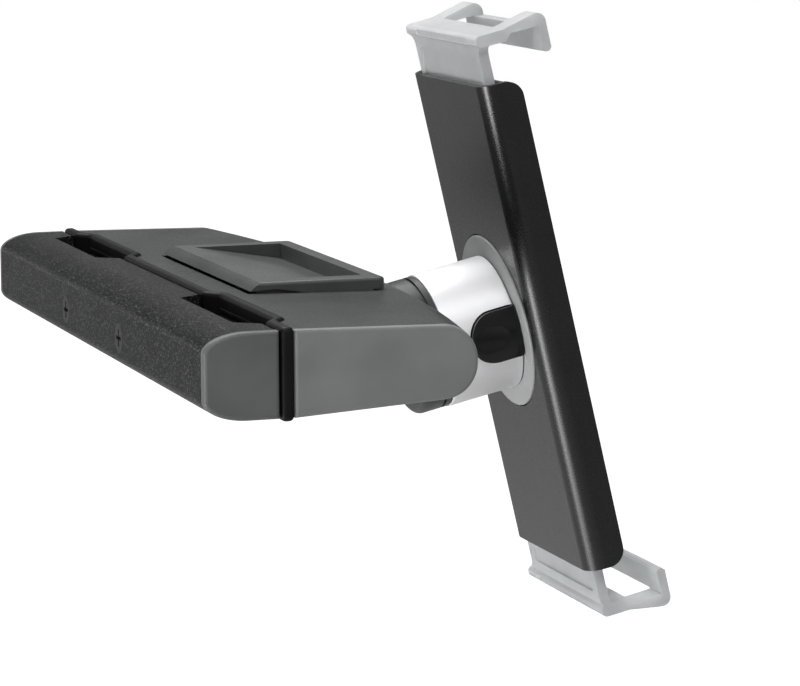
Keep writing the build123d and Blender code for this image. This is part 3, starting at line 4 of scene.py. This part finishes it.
import bmesh
import bpy
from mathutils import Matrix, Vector


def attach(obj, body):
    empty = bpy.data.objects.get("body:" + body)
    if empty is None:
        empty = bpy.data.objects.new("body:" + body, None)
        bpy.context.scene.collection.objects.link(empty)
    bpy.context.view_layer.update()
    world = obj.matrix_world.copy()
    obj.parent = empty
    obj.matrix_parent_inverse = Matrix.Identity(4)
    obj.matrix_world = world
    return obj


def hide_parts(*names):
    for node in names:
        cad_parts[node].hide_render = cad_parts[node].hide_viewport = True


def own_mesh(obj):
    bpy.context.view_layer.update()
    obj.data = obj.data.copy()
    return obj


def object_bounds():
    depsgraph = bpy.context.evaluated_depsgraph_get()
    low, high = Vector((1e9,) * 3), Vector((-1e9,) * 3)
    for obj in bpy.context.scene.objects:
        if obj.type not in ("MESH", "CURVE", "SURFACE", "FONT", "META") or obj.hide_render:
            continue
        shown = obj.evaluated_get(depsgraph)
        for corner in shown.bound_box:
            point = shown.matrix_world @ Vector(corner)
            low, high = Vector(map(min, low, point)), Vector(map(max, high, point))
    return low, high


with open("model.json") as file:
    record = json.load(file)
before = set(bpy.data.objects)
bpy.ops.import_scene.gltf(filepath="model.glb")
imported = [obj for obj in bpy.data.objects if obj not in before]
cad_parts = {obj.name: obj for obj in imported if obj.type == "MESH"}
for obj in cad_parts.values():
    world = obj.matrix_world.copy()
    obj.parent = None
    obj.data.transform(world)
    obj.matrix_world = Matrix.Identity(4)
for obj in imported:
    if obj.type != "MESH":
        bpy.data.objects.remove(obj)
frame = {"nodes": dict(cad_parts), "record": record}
CAD_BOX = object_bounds()

# Everything is in metres. X runs from the head rest posts to the tablet, Z is up.
MM = 0.001
WHITE = (1, 1, 1, 1)

# Camera of the photograph
CAMERA_PLACE = (-0.27574, -1.03905, 0.14975)
CAMERA_TURN = (81.614, 0.3361, -18.5758)
CAMERA_LENS = 169.84
CAMERA_SENSOR = 36.0
CAMERA_CLIP_START = 0.01

# Lamps: soft boxes, with sizes in metres and powers in watts
CENTRE = (0.03, 0.0, 0.0)
ABOVE_LOW_BOX = (-0.75, -0.26, 1.0)
LAMPS = {
    "top_box": dict(place=(-0.05, 0.45, 0.9), target=CENTRE, size_x=0.8, size_y=0.8, power=13),
    "side_box": dict(place=(-0.20, -1.05, 1.2), target=CENTRE, size_x=0.9, size_y=0.7, power=13),
    "low_box": dict(place=(-0.75, -0.26, -0.40), target=ABOVE_LOW_BOX, size_x=0.75, size_y=0.40, power=4.5),
    "front_box": dict(place=(-0.92, -0.27, -0.31), target=CENTRE, size_x=0.30, size_y=0.44, power=7),
}

# World: how bright the backdrop looks, and in reflections how it fades upwards and to the far side
BACKDROP = 1.0
AMBIENT = 0.35
HORIZON_NEAR = 0.45
HORIZON_FAR = 0.75
SKY_NEAR = 0.40
SKY_FAR = 0.03
SKY_RISE = (0.10, 0.22)
SKY_TURN = (-0.1, 0.5)

# Floor
FLOOR_HALF_SIZE = 6.0
FLOOR_DROP = 0.35
FLOOR_DARK = (0.58, 0.58, 0.58)
FLOOR_LIGHT = (0.62, 0.62, 0.62)
FLOOR_CLOUDS_PER_MM = 0.002
FLOOR_ROUGH = 0.9
FLOOR_GLOW = 0.90
FLOOR_GLOSS = 0.12
FLOOR_TURN = (-0.8, 0.8)

# Bands of a noise's factor over which a colour or a roughness changes
SOFT_BAND = (0.3, 0.7)
FIRM_BAND = (0.35, 0.65)

# Sockets of the Mix node that carry colours
MIX_COLOUR_A = 6
MIX_COLOUR_B = 7
MIX_COLOUR_RESULT = 2

# Moulded plastics that differ in tone, grain and gloss; the caps' copies carry painted light
PLASTIC_PATCHES_PER_MM = 0.05
PLASTIC_BUMP_STRENGTH = 0.6
PLASTICS = {
    "body_black": dict(
        dark=(0.024, 0.025, 0.025), light=(0.038, 0.040, 0.040),
        grain_per_mm=1.6, bump_mm=0.05, rough=(0.36, 0.50), specular=0.24,
    ),
    "smooth_black": dict(
        dark=(0.028, 0.029, 0.029), light=(0.040, 0.042, 0.042),
        grain_per_mm=2.4, bump_mm=0.04, rough=(0.38, 0.50), specular=0.30,
    ),
    # Caps: the smooth black plastic painted lighter, as painted light on the end faces, the body caps more
    # than the jaw caps
    "body_cap_painted_light": dict(
        dark=(0.150, 0.155, 0.155), light=(0.180, 0.185, 0.185),
        grain_per_mm=2.0, bump_mm=0.03, rough=(0.46, 0.58), specular=0.30,
    ),
    "jaw_cap_painted_light": dict(
        dark=(0.085, 0.088, 0.088), light=(0.102, 0.105, 0.105),
        grain_per_mm=2.0, bump_mm=0.03, rough=(0.42, 0.54), specular=0.30,
    ),
    "lever_black": dict(
        dark=(0.040, 0.041, 0.041), light=(0.058, 0.060, 0.060),
        grain_per_mm=1.8, bump_mm=0.05, rough=(0.32, 0.46), specular=0.42,
    ),
    "screw_black": dict(
        dark=(0.010, 0.010, 0.010), light=(0.016, 0.016, 0.016),
        grain_per_mm=3.0, bump_mm=0.02, rough=(0.28, 0.38), specular=0.24,
    ),
    "rubber_black": dict(
        dark=(0.0035, 0.0035, 0.0035), light=(0.006, 0.006, 0.006),
        grain_per_mm=3.0, bump_mm=0.04, rough=(0.40, 0.55), specular=0.14,
    ),
    "grey_disc": dict(
        dark=(0.29, 0.294, 0.294), light=(0.32, 0.324, 0.324),
        grain_per_mm=3.0, bump_mm=0.03, rough=(0.4, 0.5), specular=0.25,
    ),
    "dark_plate": dict(
        dark=(0.0040, 0.0042, 0.0042), light=(0.0060, 0.0063, 0.0063),
        grain_per_mm=3.0, bump_mm=0.010, rough=(0.25, 0.32), specular=0.50,
    ),
    "inner_grey": dict(
        dark=(0.10, 0.10, 0.105), light=(0.12, 0.12, 0.125),
        grain_per_mm=2.0, bump_mm=0.03, rough=(0.45, 0.6), specular=0.5,
    ),
    "nylon_white": dict(
        dark=(0.72, 0.72, 0.69), light=(0.78, 0.78, 0.75),
        grain_per_mm=2.0, bump_mm=0.02, rough=(0.4, 0.5), specular=0.5,
    ),
}

# Spark-eroded plastic of the jaw, with painted glints in its colour
SPARK_DARK = (0.006, 0.0063, 0.0063)
SPARK_LIGHT = (0.010, 0.0104, 0.0104)
# Bright colour of the specks: painted glints, as light caught on the grain
SPARK_PAINTED_GLINT = (0.20, 0.205, 0.205)
PAINTED_GLINT_SHARE = 0.42
PAINTED_GLINT_FADE = 0.08
SPARK_ROUGH = (0.32, 0.47)
SPARK_SPECULAR = 0.08
SPARK_BUMP_MM = 0.03

# Glossy plastic of the buttons
GLOSS_DARK = (0.003, 0.003, 0.0035)
GLOSS_LIGHT = (0.005, 0.005, 0.0055)
GLOSS_ROUGH = (0.16, 0.22)
GLOSS_SPECULAR = 0.30
GLOSS_BUMP_MM = 0.05
GLOSS_BUMP_STRENGTH = 0.2

# Height of the fine grain on silver, frosted plastic and steel
FINE_BUMP_STRENGTH = 0.3

# Silver lacquer of the barrel
SILVER_DARK = (0.74, 0.74, 0.75)
SILVER_LIGHT = (0.79, 0.79, 0.80)
SILVER_ROUGH = (0.44, 0.54)
SILVER_METALLIC = 0.45
SILVER_BUMP_MM = 0.01

# Frosted plastic of the clips
FROST_DARK = (0.575, 0.59, 0.595)
FROST_LIGHT = (0.675, 0.69, 0.695)
FROST_ROUGH = (0.38, 0.52)
FROST_TRANSMISSION = 0.55
FROST_IOR = 1.46
FROST_SCATTER = 0.4
FROST_SCATTER_MM = 3
FROST_SHEEN = 0.35
FROST_SHEEN_ROUGH = 0.4
FROST_BUMP_MM = 0.02

# Steels of the screws, pins and springs inside
STEEL = (0.48, 0.48, 0.49)
STEEL_ROUGH = (0.28, 0.42)
STEEL_DARK = (0.035, 0.035, 0.037)
STEEL_DARK_ROUGH = (0.3, 0.45)
STEEL_BRIGHTER = 1.15
STEEL_BUMP_MM = 0.02

# Nodes of one slot that differ in tone; the caps get copies of the smooth black that are painted lighter as
# lit end faces
NODE_MATERIAL = {
    "lever": "lever_black",
    "jaw_screws": "screw_black",
    "clamp_body": "body_black",
    "body_cap_left": "body_cap_painted_light",
    "body_cap_right": "body_cap_painted_light",
    "jaw_cap_left": "jaw_cap_painted_light",
    "jaw_cap_right": "jaw_cap_painted_light",
}

# Nodes that are dressed by a finer copy, with the round on their edges in millimetres
EDGE_ROUND = {
    "jaw_bar": 0.25,
    "jaw_screws": 0.12,
    "jaw_cap_left": 0.4,
    "jaw_cap_right": 0.4,
    "clamp_body": 0.3,
    "body_cap_left": 0.4,
    "body_cap_right": 0.4,
    "lever": 0.5,
    "knuckle": 0.4,
    "sleeve": 0.15,
    "button_left": 0.4,
    "button_right": 0.4,
    "swivel_disc": 0.2,
    "back_plate": 0.35,
    "top_clip": 0.2,
    "bottom_clip": 0.2,
}
EDGE_SEGMENTS = 2
MERGE_MM = 0.002
FLAT_ANGLE = radians(0.6)
SHARP_ANGLE = radians(32)
NORMAL_WEIGHT = 80

# Springs of the buttons, each listed with its button's joint
SPRING_JOINT = {"button_spring_left": "press_left", "button_spring_right": "press_right"}


# Shader helpers
def start_material(name):
    """New material with its nodes, links and shader."""
    material = bpy.data.materials.new(name)
    material.use_nodes = True
    nodes = material.node_tree.nodes
    return material, nodes, material.node_tree.links, nodes["Principled BSDF"]


def feed(links, value, socket):
    """Link a socket to another one, or set it to a plain number."""
    if isinstance(value, bpy.types.NodeSocket):
        links.new(value, socket)
    else:
        socket.default_value = value


def object_coordinates(nodes):
    return nodes.new("ShaderNodeTexCoord").outputs["Object"]


def add_noise(nodes, links, scale_per_mm, detail=3.0, roughness=0.55):
    """Noise in object space, given in cells per millimetre."""
    noise = nodes.new("ShaderNodeTexNoise")
    noise.inputs["Scale"].default_value = scale_per_mm / MM
    noise.inputs["Detail"].default_value = detail
    noise.inputs["Roughness"].default_value = roughness
    links.new(object_coordinates(nodes), noise.inputs["Vector"])
    return noise.outputs["Fac"]


def add_ramp(nodes, links, source, band, low_value, high_value):
    """Map a band of a factor to a range of values, given as numbers or sockets."""
    ramp = nodes.new("ShaderNodeMapRange")
    ramp.inputs["From Min"].default_value = band[0]
    ramp.inputs["From Max"].default_value = band[1]
    feed(links, low_value, ramp.inputs["To Min"])
    feed(links, high_value, ramp.inputs["To Max"])
    links.new(source, ramp.inputs["Value"])
    return ramp.outputs["Result"]


def add_colours(nodes, links, source, band, dark, light):
    """Blend two colours over a band of a factor."""
    ramp = nodes.new("ShaderNodeValToRGB")
    for element, position, colour in zip(ramp.color_ramp.elements, band, (dark, light)):
        element.position = position
        element.color = (*colour, 1)
    links.new(source, ramp.inputs["Fac"])
    return ramp.outputs["Color"]


def mix_colours(nodes, links, factor, first, second):
    """Blend two colour sockets by a factor."""
    mix = nodes.new("ShaderNodeMix")
    mix.data_type = "RGBA"
    links.new(factor, mix.inputs["Factor"])
    links.new(first, mix.inputs[MIX_COLOUR_A])
    links.new(second, mix.inputs[MIX_COLOUR_B])
    return mix.outputs[MIX_COLOUR_RESULT]


def mix_values(nodes, links, factor, first, second):
    """Blend two numbers or sockets by a factor."""
    mix = nodes.new("ShaderNodeMix")
    links.new(factor, mix.inputs["Factor"])
    feed(links, first, mix.inputs["A"])
    feed(links, second, mix.inputs["B"])
    return mix.outputs["Result"]


def combine(nodes, links, operation, first, second):
    """Maths of two sockets, or of a socket and a number."""
    node = nodes.new("ShaderNodeMath")
    node.operation = operation
    links.new(first, node.inputs[0])
    feed(links, second, node.inputs[1])
    return node.outputs["Value"]


def add_bump(nodes, links, shader, height, strength, distance_mm):
    bump = nodes.new("ShaderNodeBump")
    bump.inputs["Strength"].default_value = strength
    bump.inputs["Distance"].default_value = distance_mm * MM
    links.new(height, bump.inputs["Height"])
    links.new(bump.outputs["Normal"], shader.inputs["Normal"])


# Materials
def grained_plastic(name, dark, light, grain_per_mm, bump_mm, rough, specular):
    """Moulded plastic: fine grain in height, small changes of tone and gloss."""
    material, nodes, links, shader = start_material(name)
    patches = add_noise(nodes, links, PLASTIC_PATCHES_PER_MM)
    grain = add_noise(nodes, links, grain_per_mm, detail=2.0)
    links.new(add_colours(nodes, links, patches, FIRM_BAND, dark, light), shader.inputs["Base Color"])
    links.new(add_ramp(nodes, links, grain, SOFT_BAND, *rough), shader.inputs["Roughness"])
    shader.inputs["Specular IOR Level"].default_value = specular
    add_bump(nodes, links, shader, grain, PLASTIC_BUMP_STRENGTH, bump_mm)
    return material


def spark_textured():
    """Spark-eroded plastic: rough grain with a scatter of small specks painted bright as glints."""
    material, nodes, links, shader = start_material("textured_black")
    grain = add_noise(nodes, links, scale_per_mm=2.4, detail=3.0, roughness=0.7)
    patches = add_noise(nodes, links, scale_per_mm=0.04)
    glint_cells = add_noise(nodes, links, scale_per_mm=1.8, detail=2.0, roughness=0.6)
    ground = add_colours(nodes, links, patches, FIRM_BAND, SPARK_DARK, SPARK_LIGHT)
    # Painted glints: small specks painted bright in the colour
    painted_glints = add_colours(nodes, links, grain, SOFT_BAND, SPARK_LIGHT, SPARK_PAINTED_GLINT)
    painted_glint_start = 1.0 - PAINTED_GLINT_SHARE
    painted_glint_mask = add_ramp(nodes, links, glint_cells, (painted_glint_start, painted_glint_start + PAINTED_GLINT_FADE), 0.0, 1.0)
    links.new(mix_colours(nodes, links, painted_glint_mask, ground, painted_glints), shader.inputs["Base Color"])
    links.new(add_ramp(nodes, links, grain, FIRM_BAND, *SPARK_ROUGH), shader.inputs["Roughness"])
    shader.inputs["Specular IOR Level"].default_value = SPARK_SPECULAR
    add_bump(nodes, links, shader, grain, PLASTIC_BUMP_STRENGTH, SPARK_BUMP_MM)
    return material


def gloss_black():
    """Polished plastic with a faint ripple."""
    material, nodes, links, shader = start_material("gloss_black")
    ripple = add_noise(nodes, links, scale_per_mm=0.12)
    colour = add_colours(nodes, links, ripple, SOFT_BAND, GLOSS_DARK, GLOSS_LIGHT)
    links.new(colour, shader.inputs["Base Color"])
    links.new(add_ramp(nodes, links, ripple, SOFT_BAND, *GLOSS_ROUGH), shader.inputs["Roughness"])
    shader.inputs["Specular IOR Level"].default_value = GLOSS_SPECULAR
    add_bump(nodes, links, shader, ripple, GLOSS_BUMP_STRENGTH, GLOSS_BUMP_MM)
    return material


def satin_silver():
    """Silver lacquer over a fine turned surface."""
    material, nodes, links, shader = start_material("silver")
    grain = add_noise(nodes, links, scale_per_mm=4.0, detail=2.0)
    patches = add_noise(nodes, links, scale_per_mm=0.08)
    colour = add_colours(nodes, links, patches, SOFT_BAND, SILVER_DARK, SILVER_LIGHT)
    links.new(colour, shader.inputs["Base Color"])
    shader.inputs["Metallic"].default_value = SILVER_METALLIC
    links.new(add_ramp(nodes, links, grain, SOFT_BAND, *SILVER_ROUGH), shader.inputs["Roughness"])
    add_bump(nodes, links, shader, grain, FINE_BUMP_STRENGTH, SILVER_BUMP_MM)
    return material


def frosted_clear():
    """Frosted translucent clip plastic with light scattered inside."""
    material, nodes, links, shader = start_material("frosted")
    cloud = add_noise(nodes, links, scale_per_mm=0.07)
    grain = add_noise(nodes, links, scale_per_mm=2.5, detail=2.0)
    colour = add_colours(nodes, links, cloud, SOFT_BAND, FROST_DARK, FROST_LIGHT)
    links.new(colour, shader.inputs["Base Color"])
    shader.inputs["Transmission Weight"].default_value = FROST_TRANSMISSION
    shader.inputs["IOR"].default_value = FROST_IOR
    links.new(add_ramp(nodes, links, grain, SOFT_BAND, *FROST_ROUGH), shader.inputs["Roughness"])
    shader.inputs["Subsurface Weight"].default_value = FROST_SCATTER
    shader.inputs["Subsurface Radius"].default_value = [FROST_SCATTER_MM * MM] * 3
    shader.inputs["Subsurface Scale"].default_value = 1.0
    shader.inputs["Sheen Weight"].default_value = FROST_SHEEN
    shader.inputs["Sheen Roughness"].default_value = FROST_SHEEN_ROUGH
    add_bump(nodes, links, shader, grain, FINE_BUMP_STRENGTH, FROST_BUMP_MM)
    return material


def plain_steel(name, colour, rough):
    """Bare steel with a fine grain."""
    material, nodes, links, shader = start_material(name)
    grain = add_noise(nodes, links, scale_per_mm=1.2, detail=4.0)
    bright = [min(1.0, value * STEEL_BRIGHTER) for value in colour]
    links.new(add_colours(nodes, links, grain, SOFT_BAND, colour, bright), shader.inputs["Base Color"])
    shader.inputs["Metallic"].default_value = 1.0
    links.new(add_ramp(nodes, links, grain, SOFT_BAND, *rough), shader.inputs["Roughness"])
    add_bump(nodes, links, shader, grain, FINE_BUMP_STRENGTH, STEEL_BUMP_MM)
    return material


MATERIALS = {name: grained_plastic(name, **look) for name, look in PLASTICS.items()}
MATERIALS["textured_black"] = spark_textured()
MATERIALS["gloss_black"] = gloss_black()
MATERIALS["silver"] = satin_silver()
MATERIALS["frosted"] = frosted_clear()
MATERIALS["steel"] = plain_steel("steel", STEEL, STEEL_ROUGH)
MATERIALS["steel_dark"] = plain_steel("steel_dark", STEEL_DARK, STEEL_DARK_ROUGH)


# Pieces: the outer nodes are dressed by a finer copy with rounded, smoothly shaded edges
def joined_flats(source, name):
    """Copy of a mesh with its flat faces joined and smooth shading."""
    mesh = source.copy()
    mesh.name = name
    form = bmesh.new()
    form.from_mesh(mesh)
    bmesh.ops.remove_doubles(form, verts=form.verts, dist=MERGE_MM * MM)
    bmesh.ops.dissolve_limit(
        form, angle_limit=FLAT_ANGLE, verts=form.verts, edges=form.edges, delimit={"NORMAL"}
    )
    bmesh.ops.recalc_face_normals(form, faces=form.faces)
    for face in form.faces:
        face.smooth = True
    form.to_mesh(mesh)
    form.free()
    return mesh


def dressed_copy(node, body, slot, edge_mm):
    """Copy of a node with joined flats, a small round on its sharp edges and smooth shading."""
    mesh = joined_flats(frame["nodes"][node].data, node + "_skin")
    mesh.materials.clear()
    mesh.materials.append(MATERIALS[NODE_MATERIAL.get(node, slot)])
    skin = bpy.data.objects.new(node + "_skin", mesh)
    bpy.context.scene.collection.objects.link(skin)
    rounding = skin.modifiers.new("edge_round", "BEVEL")
    rounding.width = edge_mm * MM
    rounding.segments = EDGE_SEGMENTS
    rounding.limit_method = "ANGLE"
    rounding.angle_limit = SHARP_ANGLE
    even = skin.modifiers.new("even_normals", "WEIGHTED_NORMAL")
    even.mode = "FACE_AREA"
    even.weight = NORMAL_WEIGHT
    even.keep_sharp = True
    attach(skin, body)
    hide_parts(node)


def spring_copy(node, body, slot):
    """Copy of a button's spring with its own mesh, attached to its body."""
    source = frame["nodes"][node]
    mesh = source.data.copy()
    mesh.materials.clear()
    mesh.materials.append(MATERIALS[slot])
    skin = bpy.data.objects.new(node + "_skin", mesh)
    skin.matrix_world = source.matrix_world.copy()
    bpy.context.scene.collection.objects.link(skin)
    bpy.context.view_layer.update()
    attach(skin, body)
    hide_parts(node)
    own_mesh(skin)


NODE_SLOT = {entry["node"]: entry["material_slot"] for entry in frame["record"]["subparts"]}
NODE_BODY = {
    node: body for body, members in frame["record"]["behaviour"]["bodies"].items() for node in members
}
for node_name, cad_object in frame["nodes"].items():
    slot_name = NODE_SLOT[node_name]
    if node_name in EDGE_ROUND:
        dressed_copy(node_name, NODE_BODY[node_name], slot_name, EDGE_ROUND[node_name])
    elif node_name in SPRING_JOINT:
        spring_copy(node_name, NODE_BODY[node_name], slot_name)
    else:
        cad_object.data.materials.clear()
        cad_object.data.materials.append(MATERIALS[slot_name])


# Studio
def backdrop_rays(nodes, links):
    """Rays that show the backdrop: camera with transmission rays, and glossy rays."""
    path = nodes.new("ShaderNodeLightPath")
    direct = combine(
        nodes, links, "MAXIMUM", path.outputs["Is Camera Ray"], path.outputs["Is Transmission Ray"]
    )
    return direct, path.outputs["Is Glossy Ray"]


def floor_material():
    """Pale floor that the camera sees as white, with the object's shadow kept."""
    material, nodes, links, shader = start_material("studio_floor")
    cloud = add_noise(nodes, links, FLOOR_CLOUDS_PER_MM)
    colour = add_colours(nodes, links, cloud, SOFT_BAND, FLOOR_DARK, FLOOR_LIGHT)
    links.new(colour, shader.inputs["Base Color"])
    shader.inputs["Roughness"].default_value = FLOOR_ROUGH
    shader.inputs["Specular IOR Level"].default_value = 0.0
    shader.inputs["Emission Color"].default_value = WHITE
    direct, glossy = backdrop_rays(nodes, links)
    split = nodes.new("ShaderNodeSeparateXYZ")
    links.new(object_coordinates(nodes), split.inputs["Vector"])
    far_side = add_ramp(nodes, links, split.outputs["Y"], FLOOR_TURN, 0.0, FLOOR_GLOSS)
    mirrored = combine(nodes, links, "MULTIPLY", glossy, far_side)
    seen = combine(nodes, links, "MULTIPLY", direct, FLOOR_GLOW)
    links.new(combine(nodes, links, "ADD", mirrored, seen), shader.inputs["Emission Strength"])
    return material


def build_floor():
    """Square floor below the object."""
    floor_z = CAD_BOX[0][2] - FLOOR_DROP
    half = FLOOR_HALF_SIZE
    corners = [(x * half, y * half, floor_z) for x, y in ((-1, -1), (1, -1), (1, 1), (-1, 1))]
    mesh = bpy.data.meshes.new("studio_floor")
    mesh.from_pydata(corners, [], [(0, 1, 2, 3)])
    floor = bpy.data.objects.new("studio_floor", mesh)
    bpy.context.scene.collection.objects.link(floor)
    mesh.materials.append(floor_material())


def build_world():
    """White behind the object, and in reflections a bright horizon with a dimmer sky."""
    world = bpy.data.worlds.new("studio")
    bpy.context.scene.world = world
    world.use_nodes = True
    nodes = world.node_tree.nodes
    links = world.node_tree.links
    direct, glossy = backdrop_rays(nodes, links)
    split = nodes.new("ShaderNodeSeparateXYZ")
    links.new(nodes.new("ShaderNodeTexCoord").outputs["Generated"], split.inputs["Vector"])
    sky = add_ramp(nodes, links, split.outputs["Y"], SKY_TURN, SKY_NEAR, SKY_FAR)
    horizon = add_ramp(nodes, links, split.outputs["Y"], SKY_TURN, HORIZON_NEAR, HORIZON_FAR)
    mirrored = add_ramp(nodes, links, split.outputs["Z"], SKY_RISE, horizon, sky)
    indirect = mix_values(nodes, links, glossy, AMBIENT, mirrored)
    background = nodes["Background"]
    background.inputs["Color"].default_value = WHITE
    links.new(mix_values(nodes, links, direct, indirect, BACKDROP), background.inputs["Strength"])


def build_camera():
    """Camera at the photograph's viewing angle."""
    camera = bpy.data.cameras.new("camera")
    camera.lens = CAMERA_LENS
    camera.sensor_width = CAMERA_SENSOR
    camera.sensor_fit = "HORIZONTAL"
    camera.clip_start = CAMERA_CLIP_START
    holder = bpy.data.objects.new("camera", camera)
    bpy.context.scene.collection.objects.link(holder)
    holder.location = CAMERA_PLACE
    holder.rotation_euler = [radians(angle) for angle in CAMERA_TURN]
    bpy.context.scene.camera = holder


def add_soft_box(name, place, target, size_x, size_y, power):
    """Soft box aimed at a point."""
    lamp = bpy.data.lights.new(name, "AREA")
    lamp.shape = "RECTANGLE"
    lamp.size = size_x
    lamp.size_y = size_y
    lamp.energy = power
    holder = bpy.data.objects.new(name, lamp)
    bpy.context.scene.collection.objects.link(holder)
    holder.location = place
    holder.visible_camera = False
    aim = Vector(target) - Vector(place)
    holder.rotation_euler = aim.to_track_quat("-Z", "Y").to_euler()


build_floor()
build_world()
build_camera()
for lamp_name, lamp_look in LAMPS.items():
    add_soft_box(lamp_name, **lamp_look)
bpy.context.scene.view_settings.view_transform = "Standard"

bpy.context.view_layer.update()
